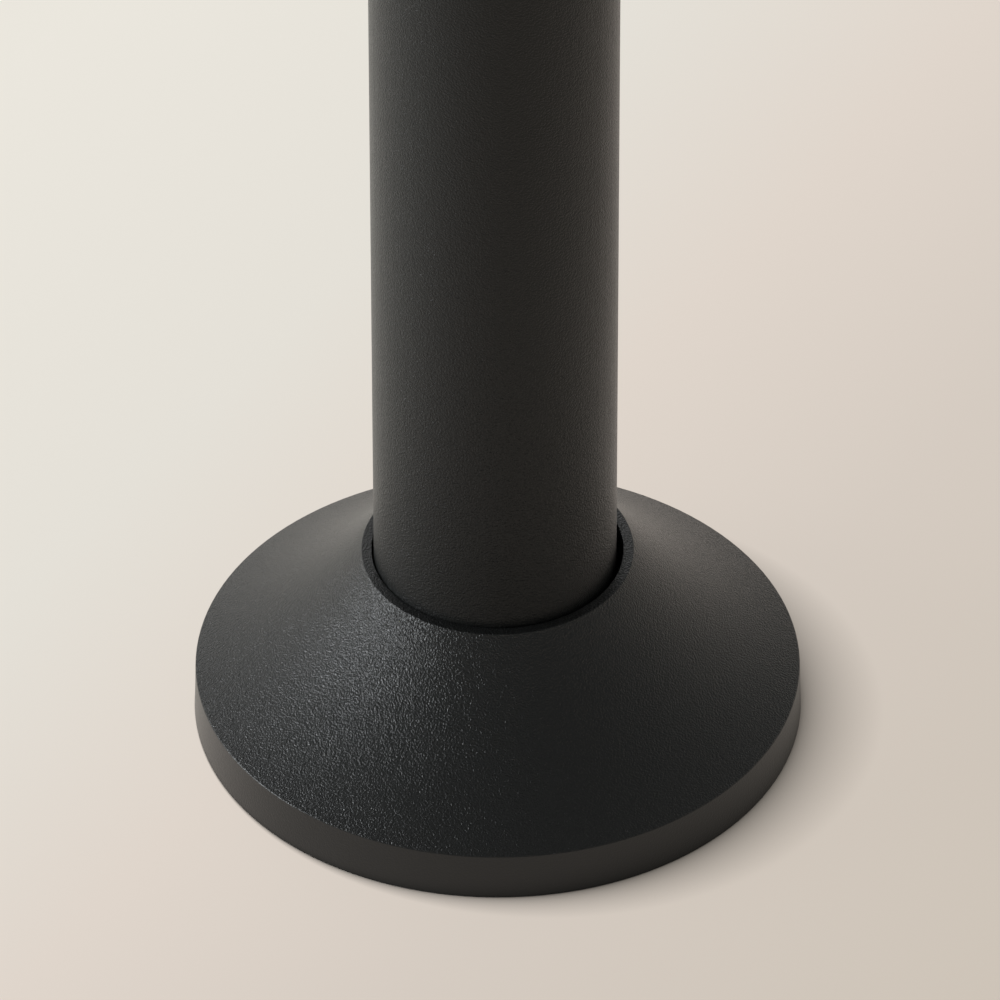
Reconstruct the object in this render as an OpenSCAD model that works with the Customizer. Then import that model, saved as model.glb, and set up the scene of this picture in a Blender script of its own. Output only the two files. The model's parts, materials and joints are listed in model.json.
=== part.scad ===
// Solar bollard light: a round post that rises through a loose conical base cover to a flat solar head.
// Sizes are millimetres. The origin is on the post's axis at ground level, and +Z is up.

/* [Post] */
// Outside diameter of the post tube
tube_d = 114.3; // [113:0.1:116]
// Wall thickness of the post tube
tube_t = 4.8; // [4:0.1:5.5]
// Height of the whole light above the ground
overall_h = 1067; // [700:1:1200]

/* [Base cover] */
// Outside diameter of the cover at the ground
cover_d = 288.3; // [280:0.1:320]
// How far the upright wall leans in between the ground and its top edge
cover_draft = 0.75; // [0:0.05:2]
// Height of the upright wall
cover_wall_h = 24.3; // [18:0.1:30]
// Height of the flat lip above the ground
cover_h = 92.9; // [85:0.1:100]
// Angle through which the hollow flank turns between wall and lip
flank_turn = 26; // [8:1:32]
// Width of the flat lip round the post
lip_w = 4.9; // [3:0.1:6]
// Gap between lip and post all round, with the cover centred
cover_gap = 2.05; // [1.5:0.05:4]
// Wall thickness of the cover
cover_t = 4.5; // [3:0.1:6]
// Direction in which the loose cover has slid until its opening bears on the post
cover_slide_angle = 55; // [0:5:355]

/* [Anchor base] */
// Diameter of the cast flange
flange_d = 196; // [190:1:204]
// Thickness of the cast flange
flange_t = 12; // [10:1:16]
// Bolt circle of the four anchor bolts
anchor_pcd = 160; // [158:0.5:164]
// Diameter of each anchor hole
anchor_hole_d = 16; // [12:0.5:18]
// Diameter of the cored opening in the middle of the flange
core_d = 76; // [50:1:80]
// How far the spigot reaches up inside the post
spigot_h = 80; // [70:1:120]

/* [Head] */
// Diameter of the solar cap
cap_d = 210; // [206:1:230]
// Height of the clear window
window_h = 64; // [60:1:90]
// Outside diameter of the clear window
lens_d = 110; // [109:0.1:111]
// Wall thickness of the clear window
lens_t = 3.5; // [3:0.1:3.6]
// Number of LEDs on the ring
led_count = 12; // [6:1:18]

/* [Battery] */
// Diameter of one of the four cells side by side in the pack
cell_d = 32; // [26:1:32]
// Length of the pack
pack_h = 150; // [80:1:200]

/* [Hidden] */
$fn = 96;

// Fits: round the tube's ends, round screws in tapped holes, round the lens in its grooves
slip = 0.35;
thread_slack = 0.05;
groove_slack = 0.3;

// Colours
powder_black = [0.11, 0.11, 0.11];
cast_grey = [0.55, 0.56, 0.57];
steel = [0.75, 0.75, 0.76];
seal_black = [0.08, 0.08, 0.08];
clear_lens = [0.85, 0.90, 0.92, 0.4];
white = [0.93, 0.93, 0.91];
board_green = [0.08, 0.32, 0.18];
cell_blue = [0.07, 0.10, 0.24];

// Post and anchor base
tube_r = tube_d / 2;
bore_r = tube_r - tube_t;
spigot_r = bore_r - slip;
spigot_wall = 7;
spigot_top = flange_t + spigot_h;
socket_r = tube_r + slip;
socket_wall = 5;
socket_top = flange_t + 20;
anchor_pad_r = 17;
anchor_pad_h = 2;
base_rib_count = 8;
base_rib_t = 6;
base_screw_d = 8;
base_screw_z = flange_t + 48;
quarters = [0, 90, 180, 270];
anchor_angles = [45, 135, 225, 315];

// Base cover
cover_r = cover_d / 2;
arris_r = cover_r - cover_draft;
opening_r = tube_r + cover_gap;
lip_r = opening_r + lip_w;
collar_z = cover_h - 8;
collar_edge = 0.4;
arris_round = 1;
bearing_gap = 0.02;
cover_slide = cover_gap - bearing_gap;

// The cover's flank in section: an arc between two short straight ends, round a centre outside the cover
arris = [arris_r, cover_wall_h];
lip_edge = [lip_r, cover_h];
flank_end = 1.5;
flank_slope = atan2(lip_edge.y - arris.y, lip_edge.x - arris.x);
flank_foot = arris + flank_end * heading(flank_slope + flank_turn / 2);
flank_head = lip_edge - flank_end * heading(flank_slope - flank_turn / 2);
flank_radius = norm(flank_head - flank_foot) / 2 / sin(flank_turn / 2);
flank_centre = flank_foot + flank_radius * heading(flank_slope + flank_turn / 2 - 90);
cavity_radius = flank_radius + cover_t;
cavity_corner_angle = -acos((arris_r - cover_t - flank_centre.x) / cavity_radius);

// Head, worked out from the top down
cap_r = cap_d / 2;
bezel_t = 3;
bezel_w = 16;
rim_w = 8;
rim_z = overall_h - bezel_t;
glass_t = 4;
glass_r = cap_r - rim_w - 1;
gasket_t = 1.5;
shelf_w = 9;
shelf_r = cap_r - rim_w - shelf_w;
shelf_z = rim_z - glass_t - gasket_t;
laminate_t = 2.5;
laminate_r = shelf_r - 1;
laminate_z = rim_z - glass_t - laminate_t;
rib_top = laminate_z - 1;
chamber_h = 22.5;
chamber_z = rib_top - chamber_h;
chamber_r = 51;
chamber_wall = 2.5;
web_t = 6;
web_z = chamber_z - web_t;
housing_foot_z = web_z - 4;
groove_h = 6;
underside_z = web_z + 6;
underside_r = 59;
underside_rise = 12;
housing_t = 4;
cap_rib_count = 12;
cap_rib_t = 2.5;

lens_r = lens_d / 2;
base_top = housing_foot_z - window_h;
seat_h = 3;
disc_t = 8;
disc_z = base_top - disc_t;
collar_top_h = 10;
tube_top = base_top - collar_top_h;
head_spigot_h = 45;
head_spigot_wall = 5;
head_spigot_in = spigot_r - head_spigot_wall;
head_screw_d = 6;
head_screw_z = tube_top - 23;

// Places on the head's discs: two sets of three, turned by half a step from each other
thirds = [30, 150, 270];
other_thirds = [90, 210, 330];
rod_r = 45;
rod_d = 6;
rod_thread_d = 5;
rod_low = disc_z - 6;
rod_high = chamber_z + 7;
washer_t = 1;
nut_h = 4;
nut_af = 8;
conduit_r = 6;
conduit_bore_r = 5;
small_screw_d = 3;
vent_y = -26;

// Reflector: a foot ring, then a flank that curves up to the conduit
reflector_t = 1.5;
foot_r = 41;
flank_r = 33;
flank_top_r = conduit_r + reflector_t + 0.2;
flank_h = 50;
foot_screw_r = 37.5;

// LED ring and charge controller
pad_t = 0.5;
led_board_t = 1.6;
led_board_r = 41;
led_board_hole_r = 16;
led_board_z = web_z - pad_t - led_board_t;
led_ring_r = 27;
led_screw_r = 36;
led_lead_x = 22;
board_z = chamber_z + 9;
board_t = 1.6;
board_top = board_z + board_t;
board_r = 43;
spacer_r = 37;
spacer_af = 5.5;
socket_h = 4.5;
socket_z = board_top + socket_h;

// Solar cells: upright strips that fit inside the laminate's edge
pv_w = 20;
pv_h = 26;
pv_gap = 1.5;
pv_t = 0.5;
pv_edge = 3;

// Battery tray: one folded sheet that hangs from the head base
sheet = 2;
tray_w = 54;
tray_back = 36;
tray_front = -30;
tray_flange_front = -18;
tray_top = disc_z;
pack_y = tray_back - sheet - cell_d;
pack_top = tray_top - 55;
pack_z = pack_top - pack_h;
cushion_t = 2;
tray_z = pack_z - cushion_t - sheet;
strap_t = 1.2;
strap_slack = 0.15;
strap_w = 14;
tray_screw_d = 4;
tray_screw_at = [18, -12];
tray_hole_r = 9;

// Leads
battery_lead_r = 1.3;
battery_bend = 5.3;
signal_lead_r = 1;
led_bend = 5;
panel_bend = 4;
junction_size = [22, 16, 5];
junction_y = -24;

// A unit vector at an angle
function heading(angle) = [cos(angle), sin(angle)];

// Replaces the corner at b, between a and c, with an arc of radius r
function corner(a, b, c, r, n) =
    let (
        u = (a - b) / norm(a - b),
        v = (c - b) / norm(c - b),
        half = acos(u * v) / 2,
        centre = b + (u + v) / norm(u + v) * r / sin(half),
        from = b + u * r / tan(half) - centre,
        to = b + v * r / tan(half) - centre,
        turn = 180 - 2 * half
    )
    [for (i = [0:n]) centre + (from * sin(turn * (1 - i / n)) + to * sin(turn * i / n)) / sin(turn)];

// An outline of [x, y, radius] points, with each corner rounded by its own radius
function soften(points, n = 6) = [
    for (i = [0:len(points) - 1])
    let (
        count = len(points),
        before = points[(i + count - 1) % count],
        here = points[i],
        after = points[(i + 1) % count]
    )
    each (here[2] > 0
        ? corner([before.x, before.y], [here.x, here.y], [after.x, after.y], here[2], n)
        : [[here.x, here.y]])
];

// Turns an outline of [radius, height, rounding] points about Z
module turned(points) rotate_extrude() polygon(soften(points));

module ring(outer, inner, h) difference() {
    cylinder(r = outer, h = h);
    translate([0, 0, -1]) cylinder(r = inner, h = h + 2);
}

// Places its children at a radius, once for each angle
module around(angles, r) for (a = angles) rotate(a) translate([r, 0, 0]) children();

module hexagon(across_flats, h) cylinder(d = across_flats / cos(30), h = h, $fn = 6);

// A domed screw along Z: its head sits on z = 0 and its shank reaches down
module button_screw(d, length) difference() {
    turned([
        [0, -length, 0], [d / 2 - thread_slack, -length, 0.12 * d], [d / 2 - thread_slack, 0, 0],
        [0.88 * d, 0, 0], [0.88 * d, 0.55 * d, 0.4 * d], [0, 0.55 * d, 0]
    ]);
    translate([0, 0, 0.2 * d]) hexagon(0.62 * d, d);
}

// A countersunk screw along Z: its head's flat top is at z = 0
module flat_screw(d, length) difference() {
    union() {
        translate([0, 0, -length]) cylinder(r = d / 2 - thread_slack, h = length - 0.3);
        translate([0, 0, -d / 2]) cylinder(r1 = d / 2 - thread_slack, r2 = d - thread_slack, h = d / 2);
    }
    translate([0, 0, -0.35 * d]) hexagon(0.66 * d, d);
}

// The post, with its clearance holes for the base and head screws
module post_tube() color(powder_black) difference() {
    translate([0, 0, flange_t]) ring(tube_r, bore_r, tube_top - flange_t);
    radial_holes(quarters, base_screw_z, base_screw_d + 1);
    radial_holes(other_thirds, head_screw_z, head_screw_d + 1);
}

module radial_holes(angles, z, d) translate([0, 0, z])
    around(angles, bore_r - 20) rotate([0, 90, 0]) cylinder(d = d, h = 40);

// The loose cover: an upright wall, a hollow flank and a flat lip, with an even wall inside
module base_cover() color(powder_black) rotate(cover_slide_angle) translate([cover_slide, 0, 0])
    rotate_extrude() difference() {
        polygon(soften([
            [cover_r, 0, 0.5],
            [arris.x, arris.y, arris_round],
            [flank_foot.x, flank_foot.y, 0],
            [flank_head.x, flank_head.y, 0],
            [lip_edge.x, lip_edge.y, 0.6],
            [opening_r, cover_h, collar_edge],
            [opening_r, 0, 0]
        ]));
        flank_circle(flank_radius);
        cover_cavity();
    }

module flank_circle(r) translate(flank_centre) circle(r = r, $fn = 720);

// Section of the space under the cover: its top follows the flank, one wall thickness below
module cover_cavity() difference() {
    inner_corner = flank_centre + cavity_radius * heading(cavity_corner_angle);
    beside_corner = flank_centre + cavity_radius * heading(cavity_corner_angle - 2.5);
    polygon(soften([
        [opening_r - 1, -1, 0],
        [cover_r - cover_t, -1, 0],
        [cover_r - cover_t, 0, 0],
        [inner_corner.x, inner_corner.y, 3],
        [beside_corner.x, beside_corner.y, 0],
        [lip_r + cover_t, collar_z, 0],
        [opening_r + collar_edge, collar_z, 0],
        [opening_r - 1, collar_z + collar_edge + 1, 0]
    ]));
    flank_circle(cavity_radius);
}

// The casting under the cover: flange, socket for the post, spigot inside it, ribs and bolt pads
module anchor_base() color(cast_grey) difference() {
    union() {
        turned([
            [core_d / 2, 0, 0],
            [flange_d / 2, 0, 0],
            [flange_d / 2, flange_t, 2],
            [socket_r + socket_wall, flange_t, 0],
            [socket_r + socket_wall, socket_top, 1.5],
            [socket_r, socket_top, 1],
            [socket_r, flange_t, 0],
            [spigot_r, flange_t, 0],
            [spigot_r, spigot_top, 2],
            [spigot_r - spigot_wall, spigot_top, 1],
            [spigot_r - spigot_wall, flange_t, 3],
            [core_d / 2, flange_t, 1]
        ]);
        around(anchor_angles, anchor_pcd / 2)
            cylinder(r = anchor_pad_r, h = flange_t + anchor_pad_h);
        around([for (i = [0:base_rib_count - 1]) (i + 0.5) * 360 / base_rib_count], 0) base_rib();
        translate([0, 0, base_screw_z]) around(quarters, 0)
            screw_boss(spigot_r - spigot_wall - 5, spigot_r - 1, 10);
    }
    around(anchor_angles, anchor_pcd / 2)
        translate([0, 0, -1]) cylinder(d = anchor_hole_d, h = flange_t + anchor_pad_h + 2);
    radial_holes(quarters, base_screw_z, base_screw_d);
}

// A triangular gusset from the socket to the flange's edge
module base_rib() rotate([90, 0, 0]) translate([0, 0, -base_rib_t / 2]) linear_extrude(base_rib_t) polygon([
    [socket_r + 1, flange_t - 1],
    [flange_d / 2 - 5, flange_t - 1],
    [flange_d / 2 - 5, flange_t + 2],
    [socket_r + 1, socket_top - 4]
]);

// A round boss that stands inwards from a spigot's wall
module screw_boss(from, to, r) translate([from, 0, 0]) rotate([0, 90, 0]) cylinder(r = r, h = to - from);

module base_screws() color(steel)
    translate([0, 0, base_screw_z]) around(quarters, tube_r)
        rotate([0, 90, 0]) button_screw(base_screw_d, 20);

// The casting that closes the post: a spigot, a collar flush with the tube and a seat for the window
module head_base() color(powder_black) difference() {
    union() {
        turned([
            [0, disc_z, 0],
            [head_spigot_in, disc_z, 2],
            [head_spigot_in, tube_top - head_spigot_h, 1],
            [spigot_r, tube_top - head_spigot_h, 1.5],
            [spigot_r, tube_top, 0],
            [tube_r, tube_top, 0.6],
            [tube_r, base_top, 1],
            [lens_r + groove_slack, base_top, 0],
            [lens_r + groove_slack, base_top - seat_h, 0],
            [lens_r - lens_t - groove_slack, base_top - seat_h, 0],
            [lens_r - lens_t - groove_slack, base_top, 0],
            [0, base_top, 0]
        ]);
        around(thirds, rod_r) translate([0, 0, disc_z - 8]) cylinder(r = 6, h = 9);
        translate([0, 0, head_screw_z]) around(other_thirds, 0)
            screw_boss(head_spigot_in - 5, spigot_r - 1, 8);
    }
    around(thirds, rod_r) translate([0, 0, disc_z - 10]) cylinder(d = rod_thread_d, h = 30);
    around(other_thirds, foot_screw_r) translate([0, 0, base_top - 6]) cylinder(d = small_screw_d, h = 10);
    translate([0, 0, disc_z - 1]) cylinder(r = conduit_r + thread_slack, h = disc_t + 2);
    translate([0, vent_y, disc_z - 1]) cylinder(r = 5, h = disc_t + 2);
    tray_screw_places() translate([0, 0, -1]) cylinder(d = tray_screw_d, h = 7);
    radial_holes(other_thirds, head_screw_z, head_screw_d);
}

module head_screws() color(steel) translate([0, 0, head_screw_z])
    around(other_thirds, tube_r) rotate([0, 90, 0]) button_screw(head_screw_d, 16);

module lower_lens_gasket() color(seal_black) translate([0, 0, base_top - seat_h])
    ring(lens_r, lens_r - lens_t, gasket_t);

// The clear window, a plain tube between its two gaskets
module lens() color(clear_lens) translate([0, 0, base_top - seat_h + gasket_t])
    ring(lens_r, lens_r - lens_t, window_h + seat_h + groove_h - 2 * gasket_t);

module upper_lens_gasket() color(seal_black) translate([0, 0, housing_foot_z + groove_h - gasket_t])
    ring(lens_r, lens_r - lens_t, gasket_t);

// Radius of the reflector's flank at a height between 0 and 1
function flank(t) = flank_top_r + (flank_r - flank_top_r) * pow(1 - t, 2);

module reflector() color(white) translate([0, 0, base_top]) difference() {
    rotate_extrude() polygon(concat(
        [[foot_r, 0], [foot_r, reflector_t]],
        [for (i = [0:16]) [flank(i / 16), reflector_t + flank_h * i / 16]],
        [for (i = [16:-1:0]) [flank(i / 16) - reflector_t, reflector_t + flank_h * i / 16]],
        [[flank_r - reflector_t, 0]]
    ));
    around(other_thirds, foot_screw_r) translate([0, 0, -1]) cylinder(d = small_screw_d + 0.4, h = 5);
}

module reflector_screws() color(steel) translate([0, 0, base_top + reflector_t])
    around(other_thirds, foot_screw_r) button_screw(small_screw_d, 6);

// The three rods that clamp the window between head base and housing
module tie_rods() color(steel) around(thirds, rod_r) {
    translate([0, 0, rod_low]) cylinder(d = rod_thread_d - 2 * thread_slack, h = rod_high - rod_low);
    translate([0, 0, base_top]) cylinder(d = rod_d, h = web_z - base_top);
}

module tie_washers() color(steel) translate([0, 0, chamber_z]) around(thirds, rod_r) ring(5, 2.6, washer_t);

module tie_nuts() color(steel) translate([0, 0, chamber_z + washer_t]) around(thirds, rod_r) difference() {
    hexagon(nut_af, nut_h);
    translate([0, 0, -1]) cylinder(d = rod_thread_d, h = nut_h + 2);
}

module wire_conduit() color(steel) translate([0, 0, disc_z])
    ring(conduit_r, conduit_bore_r, chamber_z + 2 - disc_z);

// The breather that lets the window's space follow the weather's pressure
module vent_plug() color(seal_black) translate([0, vent_y, 0]) difference() {
    union() {
        translate([0, 0, disc_z - 5]) hexagon(14, 5);
        translate([0, 0, disc_z - 1]) cylinder(r = 5 - thread_slack, h = disc_t + 1);
    }
    translate([0, 0, disc_z - 3]) cylinder(r = 2.5, h = disc_t + 8);
    translate([0, 0, disc_z - 6]) cylinder(r = 1, h = 10);
}

// Height of the cap's underside and of the floor above it, at radius r
function underside(r) = underside_z + (r - underside_r) * underside_rise / (cap_r - underside_r);

// The cap: a shallow dish with a lens groove below, and a ribbed floor, chamber and panel shelf above
module lamp_housing() color(powder_black) difference() {
    union() {
        turned([
            [0, web_z, 0],
            [lens_r - lens_t - groove_slack - 2.2, web_z, 0],
            [lens_r - lens_t - groove_slack - 2.2, housing_foot_z + 1, 0.5],
            [lens_r - lens_t - groove_slack, housing_foot_z + 1, 0.5],
            [lens_r - lens_t - groove_slack, housing_foot_z + groove_h, 0],
            [lens_r + groove_slack, housing_foot_z + groove_h, 0],
            [lens_r + groove_slack, housing_foot_z, 0],
            [underside_r, housing_foot_z, 1.2],
            [underside_r, underside_z, 4],
            [cap_r, underside(cap_r), 4],
            [cap_r, rim_z, 0],
            [cap_r - rim_w, rim_z, 0],
            [cap_r - rim_w, shelf_z, 0],
            [shelf_r, shelf_z, 0.5],
            [shelf_r, underside(shelf_r) + housing_t, 4],
            [chamber_r + chamber_wall, underside(chamber_r) + housing_t, 2],
            [chamber_r + chamber_wall, rib_top, 0.8],
            [chamber_r, rib_top, 0.8],
            [chamber_r, chamber_z, 0.8],
            [0, chamber_z, 0]
        ]);
        around([for (i = [0:cap_rib_count - 1]) i * 360 / cap_rib_count], 0) cap_rib();
    }
    around(thirds, rod_r) translate([0, 0, web_z - 1]) cylinder(d = rod_thread_d + 0.4, h = web_t + 2);
    around(thirds, led_screw_r) translate([0, 0, web_z - 1]) cylinder(d = small_screw_d, h = 6);
    around(other_thirds, spacer_r) translate([0, 0, chamber_z - 4]) cylinder(d = small_screw_d, h = 6);
    around([0], led_lead_x) translate([0, 0, web_z - 1]) cylinder(r = 3, h = web_t + 2);
    translate([0, 0, web_z - 1]) cylinder(r = conduit_r + thread_slack, h = web_t + 2);
    bezel_screw_places() translate([0, 0, -bezel_t - 10]) cylinder(d = small_screw_d, h = 12);
}

module cap_rib() rotate([90, 0, 0]) translate([0, 0, -cap_rib_t / 2]) linear_extrude(cap_rib_t) polygon([
    [chamber_r + 1, underside(chamber_r) + 2],
    [shelf_r + 2, underside(shelf_r) + 2],
    [shelf_r + 2, rib_top],
    [chamber_r + 1, rib_top]
]);

module thermal_pad() color([0.60, 0.62, 0.70]) translate([0, 0, web_z - pad_t]) difference() {
    ring(led_board_r, led_board_hole_r, pad_t);
    led_board_holes(pad_t);
}

module led_board() color(white) translate([0, 0, led_board_z]) difference() {
    ring(led_board_r, led_board_hole_r, led_board_t);
    around(thirds, led_screw_r) translate([0, 0, -1])
        cylinder(d = small_screw_d + 0.4, h = led_board_t + 2);
}

module led_board_holes(t) translate([0, 0, -1]) {
    around(thirds, led_screw_r) cylinder(d = small_screw_d + 0.4, h = t + 2);
    around([0], led_lead_x) cylinder(r = 2, h = t + 2);
}

// The LEDs: a square body and a clear dome each, facing down at the reflector
module leds() color([0.95, 0.93, 0.70]) translate([0, 0, led_board_z])
    around([for (i = [0:led_count - 1]) i * 360 / led_count], led_ring_r) {
        translate([-1.75, -1.75, -0.8]) cube([3.5, 3.5, 0.8]);
        intersection() {
            translate([0, 0, -0.7]) sphere(r = 1.4);
            translate([-2, -2, -3]) cube([4, 4, 2.6]);
        }
    }

module led_board_screws() color(steel) translate([0, 0, led_board_z])
    around(thirds, led_screw_r) mirror([0, 0, 1]) button_screw(small_screw_d, 6.5);

module controller_board() color(board_green) translate([0, 0, board_z]) difference() {
    cylinder(r = board_r, h = board_t);
    around(other_thirds, spacer_r) translate([0, 0, -1]) cylinder(d = small_screw_d + 0.4, h = board_t + 2);
    translate([0, 0, -1]) cylinder(r = conduit_r, h = board_t + 2);
    around([0], led_lead_x) translate([0, 0, -1]) cylinder(r = 2.5, h = board_t + 2);
}

// Capacitors, the storage choke and the chips, soldered to the board's top
module controller_parts() translate([0, 0, board_top]) {
    color([0.20, 0.22, 0.30]) for (y = [14, 25]) translate([-24, y, 0]) cylinder(d = 8, h = 9);
    color([0.30, 0.28, 0.26]) translate([-8, 24, 0]) ring(8, 3, 7);
    color(seal_black) {
        translate([8, 14, 0]) cube([12, 12, 1.6]);
        translate([-30, -12, 0]) cube([10, 7, 2]);
        translate([12, -28, 0]) cube([9, 6, 2]);
    }
}

// Three low sockets on the board, for the battery, the panel and the LED leads
module board_sockets() color(white) translate([0, 0, board_top]) {
    translate([-2 * battery_bend, 0, 0]) socket_block([7, 12]);
    translate([0, junction_y + junction_size.y / 2 + 6 + panel_bend, 0]) socket_block([9, 6]);
    translate([led_lead_x + 2 * led_bend, 0, 0]) socket_block([6, 9]);
}

module socket_block(size) translate([-size.x / 2, -size.y / 2, 0]) cube([size.x, size.y, socket_h]);

module board_spacers() color(steel) around(other_thirds, spacer_r) {
    translate([0, 0, chamber_z]) difference() {
        hexagon(spacer_af, board_z - chamber_z);
        translate([0, 0, 3]) cylinder(d = small_screw_d, h = 10);
    }
    translate([0, 0, chamber_z - 4]) cylinder(r = small_screw_d / 2 - thread_slack, h = 5);
}

module board_screws() color(steel) translate([0, 0, board_top])
    around(other_thirds, spacer_r) button_screw(small_screw_d, 6);

module cover_glass() color(clear_lens) translate([0, 0, rim_z - glass_t])
    cylinder(r = glass_r, h = glass_t);

// Middles of the cut cells that fit inside the laminate
pv_places = [
    for (x = [-3:3], y = [-3:2])
    let (at = [x * (pv_w + pv_gap), (y + 0.5) * (pv_h + pv_gap)])
    if (norm([abs(at.x) + pv_w / 2, abs(at.y) + pv_h / 2]) < laminate_r - pv_edge) at
];

module pv_cells() color(cell_blue) for (p = pv_places)
    translate([p.x - pv_w / 2, p.y - pv_h / 2, rim_z - glass_t - pv_t]) cube([pv_w, pv_h, pv_t]);

// The white backing, with a pocket for each cell
module pv_laminate() color(white) difference() {
    translate([0, 0, laminate_z]) cylinder(r = laminate_r, h = laminate_t);
    for (p = pv_places)
        translate([p.x - pv_w / 2, p.y - pv_h / 2, rim_z - glass_t - pv_t]) cube([pv_w, pv_h, pv_t + 1]);
}

module junction_box() color(seal_black)
    translate([-junction_size.x / 2, junction_y - junction_size.y / 2, laminate_z - junction_size.z])
        cube(junction_size);

module panel_gasket() color(seal_black) translate([0, 0, shelf_z]) ring(glass_r, shelf_r, gasket_t);

module bezel_screw_places() translate([0, 0, overall_h])
    around([for (i = [0:5]) 30 + i * 60], cap_r - rim_w / 2) children();

// The ring that holds the glass down on its gasket
module bezel_ring() color(powder_black) difference() {
    turned([
        [cap_r - bezel_w, rim_z, 0],
        [cap_r, rim_z, 0],
        [cap_r, overall_h, 1.5],
        [cap_r - bezel_w, overall_h, 1.2]
    ]);
    bezel_screw_places() {
        translate([0, 0, -bezel_t - 1]) cylinder(d = small_screw_d + 0.4, h = bezel_t + 2);
        translate([0, 0, -small_screw_d / 2])
            cylinder(r1 = small_screw_d / 2, r2 = small_screw_d, h = small_screw_d / 2);
        cylinder(r = small_screw_d, h = 1);
    }
}

module bezel_screws() color(steel) bezel_screw_places() flat_screw(small_screw_d, 12);

// Four cells side by side and two high in one sealed wrap, with the lead's outlet on top
module battery_pack() color([0.10, 0.22, 0.40]) translate([0, pack_y, pack_z]) {
    for (x = [-1, 1], y = [-1, 1]) translate([x, y, 0] * cell_d / 2) cylinder(d = cell_d, h = pack_h);
    translate([-cell_d, -cell_d / 2, 0]) cube([2 * cell_d, cell_d, pack_h]);
    translate([-cell_d / 2, -cell_d, 0]) cube([cell_d, 2 * cell_d, pack_h]);
    translate([-8, -8, pack_h - 1]) cube([16, 16, 5]);
}

// One folded sheet: a flange under the head base, a long back and a shelf for the pack
module battery_tray() color(steel) difference() {
    translate([-tray_w / 2, 0, 0]) rotate([90, 0, 90]) linear_extrude(tray_w) polygon(soften([
        [tray_flange_front, tray_top, 0],
        [tray_flange_front, tray_top - sheet, 0],
        [tray_back - sheet, tray_top - sheet, 1],
        [tray_back - sheet, tray_z + sheet, 1],
        [tray_front, tray_z + sheet, 0],
        [tray_front, tray_z, 0],
        [tray_back, tray_z, 3],
        [tray_back, tray_top, 3]
    ]));
    translate([0, 0, tray_top - sheet - 1]) cylinder(r = tray_hole_r, h = sheet + 2);
    tray_screw_places() translate([0, 0, -sheet - 1]) cylinder(d = tray_screw_d + 0.5, h = sheet + 2);
    for (z = [pack_z + 35, pack_z + pack_h - 35]) translate([0, tray_back + 1, z])
        rotate([90, 0, 0]) cylinder(d = 24, h = sheet + 2);
}

module tray_screw_places() for (x = [-1, 1])
    translate([x * tray_screw_at.x, tray_screw_at.y, tray_top]) children();

module tray_screws() color(steel) tray_screw_places()
    translate([0, 0, -sheet]) mirror([0, 0, 1]) button_screw(tray_screw_d, 7.5);

// The rubber ring in the flange's hole, round the battery lead
module tray_grommet() color(seal_black) translate([0, 0, tray_top - sheet]) turned([
    [conduit_bore_r, -2, 1],
    [tray_hole_r + 2, -2, 1],
    [tray_hole_r + 2, 0, 0],
    [tray_hole_r - thread_slack, 0, 0],
    [tray_hole_r - thread_slack, sheet, 0],
    [conduit_bore_r, sheet, 0]
]);

// The cushion between the tray's shelf and the pack
module pack_cushion() color(seal_black) translate([-tray_w / 2, tray_front, tray_z + sheet])
    cube([tray_w, 2 * cell_d - 3, cushion_t]);

// Outline of a strap's inside, drawn out by a distance
function strap_outline(out) = soften([
    [-cell_d - out, pack_y - cell_d - out, cell_d / 2 + out],
    [cell_d + out, pack_y - cell_d - out, cell_d / 2 + out],
    [cell_d + out, pack_y + 0.7 * cell_d, 6],
    [tray_w / 2 + out, tray_back + out, out],
    [-tray_w / 2 - out, tray_back + out, out],
    [-cell_d - out, pack_y + 0.7 * cell_d, 6]
], 12);

module battery_straps() color(seal_black) for (z = [pack_z + 35, pack_z + pack_h - 35])
    translate([0, 0, z - strap_w / 2]) linear_extrude(strap_w) difference() {
        polygon(strap_outline(strap_t + strap_slack));
        polygon(strap_outline(strap_slack));
    }

// A lead that rises at x = 0, turns over towards -X and comes down again
module hooked_lead(r, bend, from, top, down) {
    translate([0, 0, from]) cylinder(r = r, h = top - from);
    translate([-bend, 0, top]) rotate([90, 0, 0])
        rotate_extrude(angle = 180) translate([bend, 0]) circle(r = r);
    translate([-2 * bend, 0, down]) cylinder(r = r, h = top - down);
}

module battery_lead() color([0.70, 0.10, 0.08])
    hooked_lead(battery_lead_r, battery_bend, pack_top + 4, socket_z + 0.5, socket_z);

module led_lead() color([0.85, 0.85, 0.30]) translate([led_lead_x, 0, 0]) rotate(180)
    hooked_lead(signal_lead_r, led_bend, web_z - pad_t, socket_z + 0.5, socket_z);

// From the side of the junction box, forwards and down to its socket
module panel_lead() color([0.15, 0.15, 0.60])
    translate([0, junction_y + junction_size.y / 2, socket_z + 0.5 + panel_bend]) {
        rotate([-90, 0, 0]) cylinder(r = signal_lead_r, h = 6);
        translate([0, 6, -panel_bend]) rotate([90, 0, 90]) rotate_extrude(angle = 90)
            translate([panel_bend, 0]) circle(r = signal_lead_r);
        translate([0, 6 + panel_bend, -panel_bend - 0.5]) cylinder(r = signal_lead_r, h = 0.5);
    }

post_tube();
base_cover();
anchor_base();
base_screws();
head_base();
head_screws();
lower_lens_gasket();
lens();
upper_lens_gasket();
reflector();
reflector_screws();
tie_rods();
tie_nuts();
tie_washers();
wire_conduit();
vent_plug();
lamp_housing();
thermal_pad();
led_board();
leds();
led_board_screws();
controller_board();
controller_parts();
board_sockets();
board_spacers();
board_screws();
cover_glass();
pv_laminate();
pv_cells();
junction_box();
panel_gasket();
bezel_ring();
bezel_screws();
battery_pack();
pack_cushion();
battery_tray();
battery_straps();
tray_screws();
tray_grommet();
battery_lead();
panel_lead();
led_lead();
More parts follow.
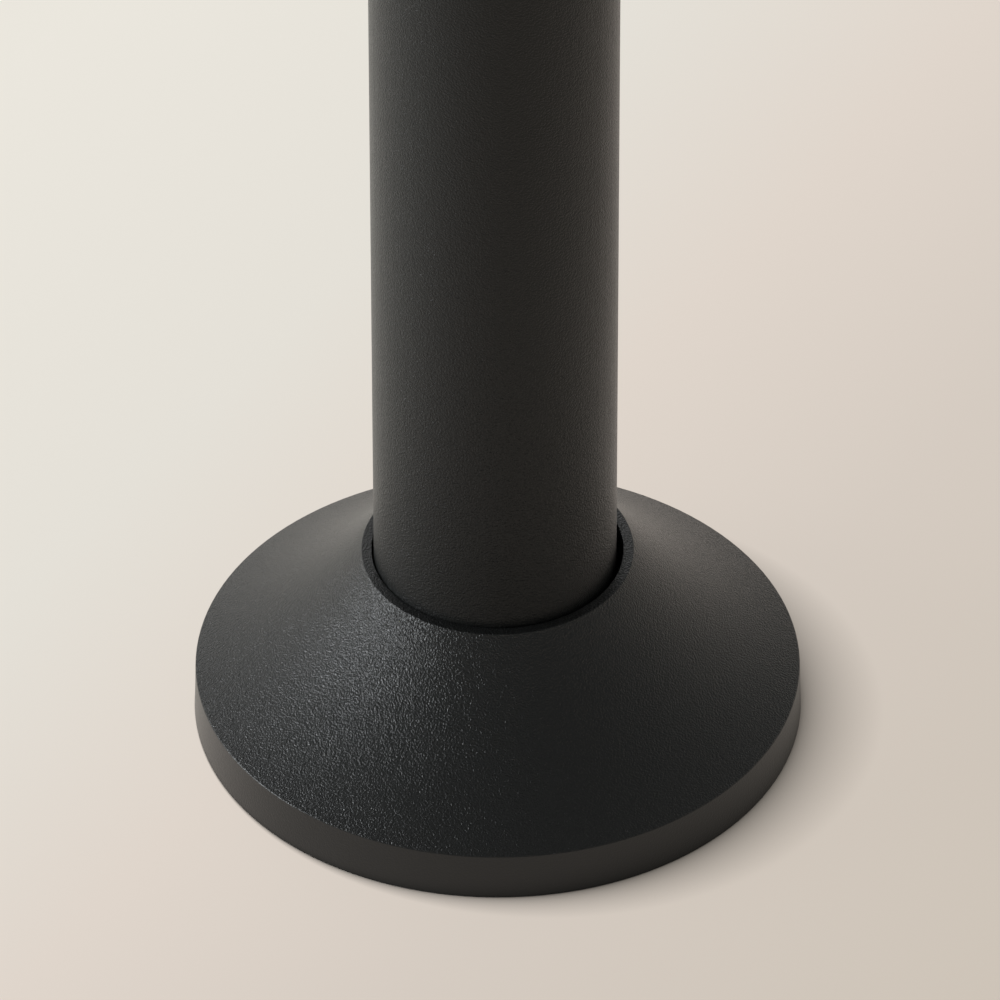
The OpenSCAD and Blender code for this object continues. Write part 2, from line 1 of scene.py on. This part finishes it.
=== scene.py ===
"""Looks for the solar bollard light: powder-coated post and cover, clear window, solar cap, soft studio light."""

import json
import math

import bpy
from mathutils import Euler, Matrix, Vector


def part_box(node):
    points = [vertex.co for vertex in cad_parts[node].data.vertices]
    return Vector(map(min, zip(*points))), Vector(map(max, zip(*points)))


MM = 0.001

# Camera: a long lens that looks down at the base cover, fitted to the photograph
LENS_MM = 406.6
SENSOR_MM = 36.0
CAMERA_PITCH = math.radians(38.85)
CAMERA_ROLL = -0.0012
CAMERA_DISTANCE = 5.298
CAMERA_TARGET = Vector((2.34, 1.68, 121.9)) * MM
CAMERA_CLIP_END = 100.0

# Powder coat: the cover's side wall, below its edge, is smoother than its flank, and its darker colour is painted
# shade on the same coat
COAT_COLOR = (0.0155, 0.0163, 0.0161)
COAT_ROUGHNESS = 0.31
COVER_SPECULAR = 0.48
POST_SPECULAR = 0.27
GRAIN_SCALE = 1100.0
COVER_GRAIN = 0.62 * MM
POST_GRAIN = 0.52 * MM
WALL_TOP = 24.3 * MM
WALL_GRAIN = 0.25
# Painted shade: a darker colour for the side wall of the same coat
WALL_PAINTED_SHADE_COLOR = (0.0065, 0.0078, 0.0082)

# Solar cells
CELL_COLOR = (0.006, 0.010, 0.035)
SILVER = (0.45, 0.45, 0.46)
CELL_PITCH = 21.5 * MM
BUS_OFFSET = 5.0 * MM
BUS_WIDTH = 0.9 * MM
FINGER_PITCH = 1.6 * MM
FINGER_WIDTH = 0.14 * MM

# Floor: the pale ground gets darker and warmer from the far left to the near right
FLOOR_SIZE = 60.0
FLOOR_ROUGHNESS = 0.9
FLOOR_START, FLOOR_END = -0.563, 0.376
FLOOR_RAMP = (
    (0.0, (0.903, 0.868, 0.793)),
    (0.3, (0.851, 0.816, 0.746)),
    (0.5, (0.810, 0.729, 0.655)),
    (0.7, (0.729, 0.655, 0.585)),
    (1.0, (0.669, 0.599, 0.520)),
)

# Studio: a pale surround, brighter along the horizon, and far softboxes
# by azimuth from +X towards +Y, elevation and width in degrees, and strength as for a sun
SURROUND = (0.218, 0.221, 0.217)
HORIZON = (0.74, 0.72, 0.69)
HORIZON_TOP = 0.12
LAMP_DISTANCE = 2.0
SOFTBOXES = {
    "key": dict(azimuth=180, elevation=8, width=30, power=2.55, color=(0.96, 1.0, 1.03)),
    "back": dict(azimuth=112, elevation=20, width=60, power=0.55, color=(1.0, 1.0, 1.0)),
    "right": dict(azimuth=30, elevation=25, width=40, power=0.09, color=(1.0, 0.95, 0.85)),
}
# Share of the ground's plain colour that the camera and reflections see: little at the cover's foot and most of it
# further out. This short shade reaches furthest on the object's right and hardly at all on its left
SHADE_SHARE, PLAIN_SHARE = 0.02, 0.86
SHADE_AZIMUTH = math.radians(-10)
SHADE_REACH = 40.0 * MM
SHADE_LEAST, SHADE_NARROWING = 0.15, 2.6
SHADE_RISE = 0.6


def nodes_of(material):
    """The material's node tree and its Principled shader."""
    tree = material.node_tree
    return tree, tree.nodes["Principled BSDF"]


def new_material(name, color, roughness, metallic=0.0, specular=0.5):
    material = bpy.data.materials.new(name)
    material.use_nodes = True
    _, shader = nodes_of(material)
    shader.inputs["Base Color"].default_value = (*color, 1.0)
    shader.inputs["Roughness"].default_value = roughness
    shader.inputs["Metallic"].default_value = metallic
    shader.inputs["Specular IOR Level"].default_value = specular
    return material


def add(tree, kind, **settings):
    """A new node with its settings and named input values."""
    node = tree.nodes.new(kind)
    for key, value in settings.items():
        if key in node.inputs:
            node.inputs[key].default_value = value
        else:
            setattr(node, key, value)
    return node


def calculate(tree, operation, first, second, clamp=False):
    """The output of a maths node whose two operands are numbers or other nodes' outputs."""
    node = add(tree, "ShaderNodeMath", operation=operation, use_clamp=clamp)
    for socket, operand in zip(node.inputs, (first, second)):
        if isinstance(operand, bpy.types.NodeSocket):
            tree.links.new(operand, socket)
        else:
            socket.default_value = operand
    return node.outputs["Value"]


def powder_coat(name, height, specular, smooth_and_painted_dark_below=None):
    """Black textured powder coat: a fine leathery grain, weaker on the side wall below a given height, where a darker
    colour is painted shade on the same coat.
    """
    material = new_material(name, COAT_COLOR, COAT_ROUGHNESS, specular=specular)
    tree, shader = nodes_of(material)
    place = add(tree, "ShaderNodeTexCoord")
    grain = add(tree, "ShaderNodeTexNoise", Scale=GRAIN_SCALE, Detail=1.0, Roughness=0.5, Distortion=0.3)
    tree.links.new(place.outputs["Object"], grain.inputs["Vector"])
    bump = add(tree, "ShaderNodeBump", Strength=1.0, Distance=height)
    tree.links.new(grain.outputs["Fac"], bump.inputs["Height"])
    if smooth_and_painted_dark_below is not None:
        parts = add(tree, "ShaderNodeSeparateXYZ")
        tree.links.new(place.outputs["Object"], parts.inputs["Vector"])
        above = calculate(tree, "GREATER_THAN", parts.outputs["Z"], smooth_and_painted_dark_below)
        strength = add(tree, "ShaderNodeMapRange")
        strength.inputs["To Min"].default_value = WALL_GRAIN
        tree.links.new(above, strength.inputs["Value"])
        tree.links.new(strength.outputs["Result"], bump.inputs["Strength"])
        # Painted shade: the side wall below the edge gets a darker colour than the flank, though it is the same coat
        color = add(tree, "ShaderNodeValToRGB")
        for stop, value in zip(color.color_ramp.elements, (WALL_PAINTED_SHADE_COLOR, COAT_COLOR)):
            stop.color = (*value, 1.0)
        tree.links.new(above, color.inputs["Fac"])
        tree.links.new(color.outputs["Color"], shader.inputs["Base Color"])
    tree.links.new(bump.outputs["Normal"], shader.inputs["Normal"])
    return material


def mottled(name, color, roughness, scale, height=0.0, spread=0.12, stretch=(1.0, 1.0, 1.0), uneven=0.0, **basics):
    """A finish whose colour, gloss and surface vary finely: castings, mouldings, rubber, film and brushed metal."""
    material = new_material(name, color, roughness, **basics)
    tree, shader = nodes_of(material)
    place = add(tree, "ShaderNodeTexCoord")
    mapping = add(tree, "ShaderNodeMapping", Scale=stretch)
    tree.links.new(place.outputs["Object"], mapping.inputs["Vector"])
    grain = add(tree, "ShaderNodeTexNoise", Scale=scale, Detail=3.0, Roughness=0.6)
    tree.links.new(mapping.outputs["Vector"], grain.inputs["Vector"])
    ramp = add(tree, "ShaderNodeValToRGB")
    for stop, position, gain in zip(ramp.color_ramp.elements, (0.3, 0.7), (1.0 - spread, 1.0 + spread)):
        stop.position = position
        stop.color = (*(min(channel * gain, 1.0) for channel in color), 1.0)
    tree.links.new(grain.outputs["Fac"], ramp.inputs["Fac"])
    tree.links.new(ramp.outputs["Color"], shader.inputs["Base Color"])
    if uneven:
        gloss = add(tree, "ShaderNodeMapRange")
        ends = {"From Min": 0.3, "From Max": 0.7, "To Min": roughness - uneven, "To Max": roughness + uneven}
        for key, value in ends.items():
            gloss.inputs[key].default_value = value
        tree.links.new(grain.outputs["Fac"], gloss.inputs["Value"])
        tree.links.new(gloss.outputs["Result"], shader.inputs["Roughness"])
    if height:
        bump = add(tree, "ShaderNodeBump", Strength=1.0, Distance=height)
        tree.links.new(grain.outputs["Fac"], bump.inputs["Height"])
        tree.links.new(bump.outputs["Normal"], shader.inputs["Normal"])
    return material


def clear(name, color, ior, scale, height):
    """Clear glass or plastic with a slightly uneven surface, which lets the lamps' light through."""
    material = new_material(name, color, 0.03)
    tree, shader = nodes_of(material)
    shader.inputs["Transmission Weight"].default_value = 1.0
    shader.inputs["IOR"].default_value = ior
    place = add(tree, "ShaderNodeTexCoord")
    wave = add(tree, "ShaderNodeTexNoise", Scale=scale, Detail=1.0)
    tree.links.new(place.outputs["Object"], wave.inputs["Vector"])
    bump = add(tree, "ShaderNodeBump", Strength=1.0, Distance=height)
    tree.links.new(wave.outputs["Fac"], bump.inputs["Height"])
    tree.links.new(bump.outputs["Normal"], shader.inputs["Normal"])
    through = add(tree, "ShaderNodeBsdfTransparent", Color=(*color, 1.0))
    path = add(tree, "ShaderNodeLightPath")
    mix = add(tree, "ShaderNodeMixShader")
    tree.links.new(path.outputs["Is Shadow Ray"], mix.inputs["Fac"])
    tree.links.new(shader.outputs["BSDF"], mix.inputs[1])
    tree.links.new(through.outputs["BSDF"], mix.inputs[2])
    tree.links.new(mix.outputs["Shader"], tree.nodes["Material Output"].inputs["Surface"])
    return material


def stripes(tree, coordinate, pitch, offset, width):
    """1 on lines of a given width, at an offset to either side of each middle along one coordinate."""
    value = add(tree, "ShaderNodeMath", operation="WRAP")
    value.inputs[1].default_value, value.inputs[2].default_value = -pitch / 2, pitch / 2
    tree.links.new(coordinate, value.inputs[0])
    for operation, operand in (("ABSOLUTE", 0.0), ("SUBTRACT", offset), ("ABSOLUTE", 0.0), ("LESS_THAN", width / 2)):
        step = add(tree, "ShaderNodeMath", operation=operation)
        step.inputs[1].default_value = operand
        tree.links.new(value.outputs["Value"], step.inputs[0])
        value = step
    return value.outputs["Value"]


def solar_cell(name):
    """Dark blue silicon with fine silver fingers and two bus bars on each cell."""
    material = mottled(name, CELL_COLOR, 0.25, scale=40.0, spread=0.35)
    tree, shader = nodes_of(material)
    silicon = shader.inputs["Base Color"].links[0].from_socket
    place = add(tree, "ShaderNodeTexCoord")
    parts = add(tree, "ShaderNodeSeparateXYZ")
    tree.links.new(place.outputs["Object"], parts.inputs["Vector"])
    silver = add(tree, "ShaderNodeMath", operation="MAXIMUM")
    tree.links.new(stripes(tree, parts.outputs["X"], CELL_PITCH, BUS_OFFSET, BUS_WIDTH), silver.inputs[0])
    tree.links.new(stripes(tree, parts.outputs["Y"], FINGER_PITCH, 0.0, FINGER_WIDTH), silver.inputs[1])
    mix = add(tree, "ShaderNodeMix", data_type="RGBA")
    tree.links.new(silver.outputs["Value"], mix.inputs["Factor"])
    tree.links.new(silicon, mix.inputs[6])
    mix.inputs[7].default_value = (*SILVER, 1.0)
    tree.links.new(mix.outputs[2], shader.inputs["Base Color"])
    return material


def circuit_board(name, color, trace):
    """Solder mask with paler tracks under it."""
    material = new_material(name, color, 0.35)
    tree, shader = nodes_of(material)
    place = add(tree, "ShaderNodeTexCoord")
    tracks = add(tree, "ShaderNodeTexBrick", Scale=1.0, **{
        "Color1": (*color, 1.0), "Color2": (*(channel * 0.9 for channel in color), 1.0), "Mortar": (*trace, 1.0),
        "Mortar Size": 0.35 * MM, "Brick Width": 9.0 * MM, "Row Height": 2.2 * MM,
    })
    tree.links.new(place.outputs["Object"], tracks.inputs["Vector"])
    tree.links.new(tracks.outputs["Color"], shader.inputs["Base Color"])
    bump = add(tree, "ShaderNodeBump", Strength=1.0, Distance=0.03 * MM)
    tree.links.new(tracks.outputs["Fac"], bump.inputs["Height"])
    tree.links.new(bump.outputs["Normal"], shader.inputs["Normal"])
    return material


def led_resin(name):
    """Yellow phosphor under a clear dome."""
    material = mottled(name, (0.85, 0.72, 0.18), 0.45, scale=2500.0, spread=0.15)
    _, shader = nodes_of(material)
    shader.inputs["Coat Weight"].default_value = 1.0
    shader.inputs["Coat Roughness"].default_value = 0.04
    return material


def dress(frame):
    """Gives every CAD node its material."""
    brushed = (1.0, 1.0, 0.04)
    finishes = {
        "powder_black": powder_coat("powder_coat", POST_GRAIN, POST_SPECULAR),
        "cast_aluminium": mottled(
            "cast_aluminium", (0.40, 0.41, 0.42), 0.55, 420.0, 0.12 * MM, metallic=0.9, uneven=0.08
        ),
        "stainless": mottled(
            "stainless", (0.55, 0.55, 0.55), 0.32, 900.0, 0.02 * MM, 0.08, brushed, 0.08, metallic=1.0
        ),
        "seal_black": mottled("seal_black", (0.018, 0.018, 0.018), 0.72, 900.0, 0.04 * MM, 0.3, uneven=0.1),
        "clear_plastic": clear("clear_plastic", (0.94, 0.96, 0.96), 1.58, 30.0, 0.03 * MM),
        "reflector_white": mottled("reflector_white", (0.82, 0.82, 0.80), 0.38, 500.0, 0.02 * MM, 0.02, uneven=0.05),
        "pad_grey": mottled("pad_grey", (0.35, 0.38, 0.48), 0.85, 700.0, 0.05 * MM, 0.15),
        "board_white": mottled("board_white", (0.78, 0.78, 0.75), 0.42, 1200.0, 0.01 * MM, 0.03, uneven=0.06),
        "led_yellow": led_resin("led_yellow"),
        "board_green": circuit_board("board_green", (0.010, 0.10, 0.04), (0.03, 0.20, 0.09)),
        "component_dark": mottled("component_dark", (0.020, 0.020, 0.021), 0.5, 1500.0, 0.02 * MM, 0.25),
        "panel_glass": clear("panel_glass", (0.96, 0.98, 0.97), 1.52, 700.0, 0.008 * MM),
        "cell_blue": solar_cell("cell_blue"),
        "battery_wrap": mottled("battery_wrap", (0.02, 0.08, 0.22), 0.32, 70.0, 0.25 * MM, 0.1, uneven=0.06),
        "folded_sheet": mottled(
            "folded_sheet", (0.60, 0.61, 0.62), 0.38, 700.0, 0.02 * MM, 0.06, brushed, 0.08, metallic=1.0
        ),
        "lead_red": mottled("lead_red", (0.40, 0.02, 0.02), 0.42, 800.0, 0.01 * MM, 0.1),
        "lead_blue": mottled("lead_blue", (0.02, 0.04, 0.30), 0.42, 800.0, 0.01 * MM, 0.1),
        "lead_yellow": mottled("lead_yellow", (0.60, 0.50, 0.05), 0.42, 800.0, 0.01 * MM, 0.1),
    }
    cover_coat = powder_coat("powder_coat_cover", COVER_GRAIN, COVER_SPECULAR, smooth_and_painted_dark_below=WALL_TOP)
    for subpart in frame["record"]["subparts"]:
        node = frame["nodes"][subpart["node"]]
        node.data.materials.clear()
        node.data.materials.append(finishes[subpart["material_slot"]])
    frame["nodes"]["base_cover"].data.materials[0] = cover_coat


def make_camera():
    camera = bpy.data.objects.new("camera", bpy.data.cameras.new("camera"))
    camera.data.lens = LENS_MM
    camera.data.sensor_width = SENSOR_MM
    camera.data.clip_end = CAMERA_CLIP_END
    turn = Euler((math.pi / 2 - CAMERA_PITCH, 0, 0)).to_matrix() @ Matrix.Rotation(CAMERA_ROLL, 3, "Z")
    camera.matrix_world = Matrix.Translation(
        CAMERA_TARGET + CAMERA_DISTANCE * Vector((0, -math.cos(CAMERA_PITCH), math.sin(CAMERA_PITCH)))
    ) @ turn.to_4x4()
    bpy.context.scene.collection.objects.link(camera)
    bpy.context.scene.camera = camera


def ground_color(tree, place):
    """The ground's gradient, laid along the photograph's diagonal."""
    parts = add(tree, "ShaderNodeSeparateXYZ")
    tree.links.new(place, parts.inputs["Vector"])
    # One pixel down the picture is 1 / sin(pitch) times as far along the ground as one pixel across it
    down = calculate(tree, "MULTIPLY", parts.outputs["Y"], -math.sin(CAMERA_PITCH))
    along = calculate(tree, "ADD", down, parts.outputs["X"])
    spread = add(tree, "ShaderNodeMapRange")
    spread.inputs["From Min"].default_value, spread.inputs["From Max"].default_value = FLOOR_START, FLOOR_END
    tree.links.new(along, spread.inputs["Value"])
    ramp = add(tree, "ShaderNodeValToRGB")
    stops = ramp.color_ramp.elements
    while len(stops) < len(FLOOR_RAMP):
        stops.new(0.5)
    for stop, (position, color) in zip(stops, FLOOR_RAMP):
        stop.position = position
        stop.color = (*color, 1.0)
    tree.links.new(spread.outputs["Result"], ramp.inputs["Fac"])
    return ramp.outputs["Color"]


def plain_share(tree, place):
    """The share of the ground's plain colour: none under the cover, little at its foot and more further out."""
    foot_low, foot_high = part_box("base_cover")
    middle, foot_radius = (foot_low + foot_high) / 2, (foot_high.x - foot_low.x) / 2
    outward = add(tree, "ShaderNodeVectorMath", operation="SUBTRACT")
    outward.inputs[1].default_value = (middle.x, middle.y, 0.0)
    tree.links.new(place, outward.inputs[0])
    distance = add(tree, "ShaderNodeVectorMath", operation="LENGTH")
    tree.links.new(outward.outputs["Vector"], distance.inputs[0])
    heading = add(tree, "ShaderNodeVectorMath", operation="NORMALIZE")
    tree.links.new(outward.outputs["Vector"], heading.inputs[0])
    facing = add(tree, "ShaderNodeVectorMath", operation="DOT_PRODUCT")
    facing.inputs[1].default_value = (math.cos(SHADE_AZIMUTH), math.sin(SHADE_AZIMUTH), 0.0)
    tree.links.new(heading.outputs["Vector"], facing.inputs[0])
    lean = add(tree, "ShaderNodeMapRange")
    lean.inputs["From Min"].default_value, lean.inputs["To Min"].default_value = -1.0, SHADE_LEAST
    tree.links.new(facing.outputs["Value"], lean.inputs["Value"])
    reach = calculate(tree, "MULTIPLY", calculate(tree, "POWER", lean.outputs["Result"], SHADE_NARROWING), SHADE_REACH)
    beyond = calculate(tree, "SUBTRACT", distance.outputs["Value"], foot_radius)
    rise = calculate(tree, "POWER", calculate(tree, "DIVIDE", beyond, reach, clamp=True), SHADE_RISE)
    share = add(tree, "ShaderNodeMapRange")
    share.inputs["To Min"].default_value, share.inputs["To Max"].default_value = SHADE_SHARE, PLAIN_SHARE
    tree.links.new(rise, share.inputs["Value"])
    open_ground = calculate(tree, "GREATER_THAN", distance.outputs["Value"], foot_radius)
    return calculate(tree, "MULTIPLY", open_ground, share.outputs["Result"])


def make_floor():
    """The pale ground, which keeps a short shade beside the cover."""
    mesh = bpy.data.meshes.new("floor")
    half = FLOOR_SIZE / 2
    mesh.from_pydata([(-half, -half, 0), (half, -half, 0), (half, half, 0), (-half, half, 0)], [], [(0, 1, 2, 3)])
    floor = bpy.data.objects.new("floor", mesh)
    bpy.context.scene.collection.objects.link(floor)
    material = new_material("floor", FLOOR_RAMP[0][1], FLOOR_ROUGHNESS, specular=0.0)
    tree, shader = nodes_of(material)
    place = add(tree, "ShaderNodeTexCoord").outputs["Object"]
    color = ground_color(tree, place)
    tree.links.new(color, shader.inputs["Base Color"])
    even = add(tree, "ShaderNodeEmission")
    tree.links.new(color, even.inputs["Color"])
    path = add(tree, "ShaderNodeLightPath")
    seen = calculate(tree, "ADD", path.outputs["Is Camera Ray"], path.outputs["Is Glossy Ray"], clamp=True)
    seen = calculate(tree, "ADD", seen, path.outputs["Is Transmission Ray"], clamp=True)
    mix = add(tree, "ShaderNodeMixShader")
    tree.links.new(calculate(tree, "MULTIPLY", seen, plain_share(tree, place)), mix.inputs["Fac"])
    tree.links.new(shader.outputs["BSDF"], mix.inputs[1])
    tree.links.new(even.outputs["Emission"], mix.inputs[2])
    tree.links.new(mix.outputs["Shader"], tree.nodes["Material Output"].inputs["Surface"])
    mesh.materials.append(material)


def make_world():
    """The even surround, paler along the horizon."""
    world = bpy.data.worlds.new("studio")
    world.use_nodes = True
    tree = world.node_tree
    place = add(tree, "ShaderNodeTexCoord")
    parts = add(tree, "ShaderNodeSeparateXYZ")
    tree.links.new(place.outputs["Generated"], parts.inputs["Vector"])
    rise = add(tree, "ShaderNodeMapRange", interpolation_type="SMOOTHSTEP")
    rise.inputs["From Max"].default_value = HORIZON_TOP
    tree.links.new(parts.outputs["Z"], rise.inputs["Value"])
    ramp = add(tree, "ShaderNodeValToRGB")
    for stop, color in zip(ramp.color_ramp.elements, (HORIZON, SURROUND)):
        stop.color = (*color, 1.0)
    tree.links.new(rise.outputs["Result"], ramp.inputs["Fac"])
    tree.links.new(ramp.outputs["Color"], tree.nodes["Background"].inputs["Color"])
    bpy.context.scene.world = world


def make_softboxes():
    """The far soft lamps, each turned towards the camera's target."""
    for name, box in SOFTBOXES.items():
        light = bpy.data.lights.new(name, "SUN")
        light.angle = math.radians(box["width"])
        light.energy = box["power"]
        light.color = box["color"]
        azimuth, elevation = math.radians(box["azimuth"]), math.radians(box["elevation"])
        way = Vector((
            math.cos(azimuth) * math.cos(elevation), math.sin(azimuth) * math.cos(elevation), math.sin(elevation)
        ))
        lamp = bpy.data.objects.new(name, light)
        lamp.location = CAMERA_TARGET + LAMP_DISTANCE * way
        lamp.rotation_mode = "QUATERNION"
        lamp.rotation_quaternion = way.to_track_quat("Z", "Y")
        bpy.context.scene.collection.objects.link(lamp)


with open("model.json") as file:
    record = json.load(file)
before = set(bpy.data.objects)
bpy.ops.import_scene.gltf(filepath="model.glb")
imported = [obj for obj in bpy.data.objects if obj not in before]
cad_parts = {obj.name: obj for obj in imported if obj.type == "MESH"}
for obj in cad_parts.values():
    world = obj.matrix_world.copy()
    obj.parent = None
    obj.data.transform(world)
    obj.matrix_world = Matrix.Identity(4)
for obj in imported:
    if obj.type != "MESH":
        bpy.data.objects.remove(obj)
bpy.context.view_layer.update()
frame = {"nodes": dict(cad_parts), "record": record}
bpy.context.scene.view_settings.view_transform = "Standard"
make_camera()
make_floor()
make_world()
make_softboxes()
dress(frame)
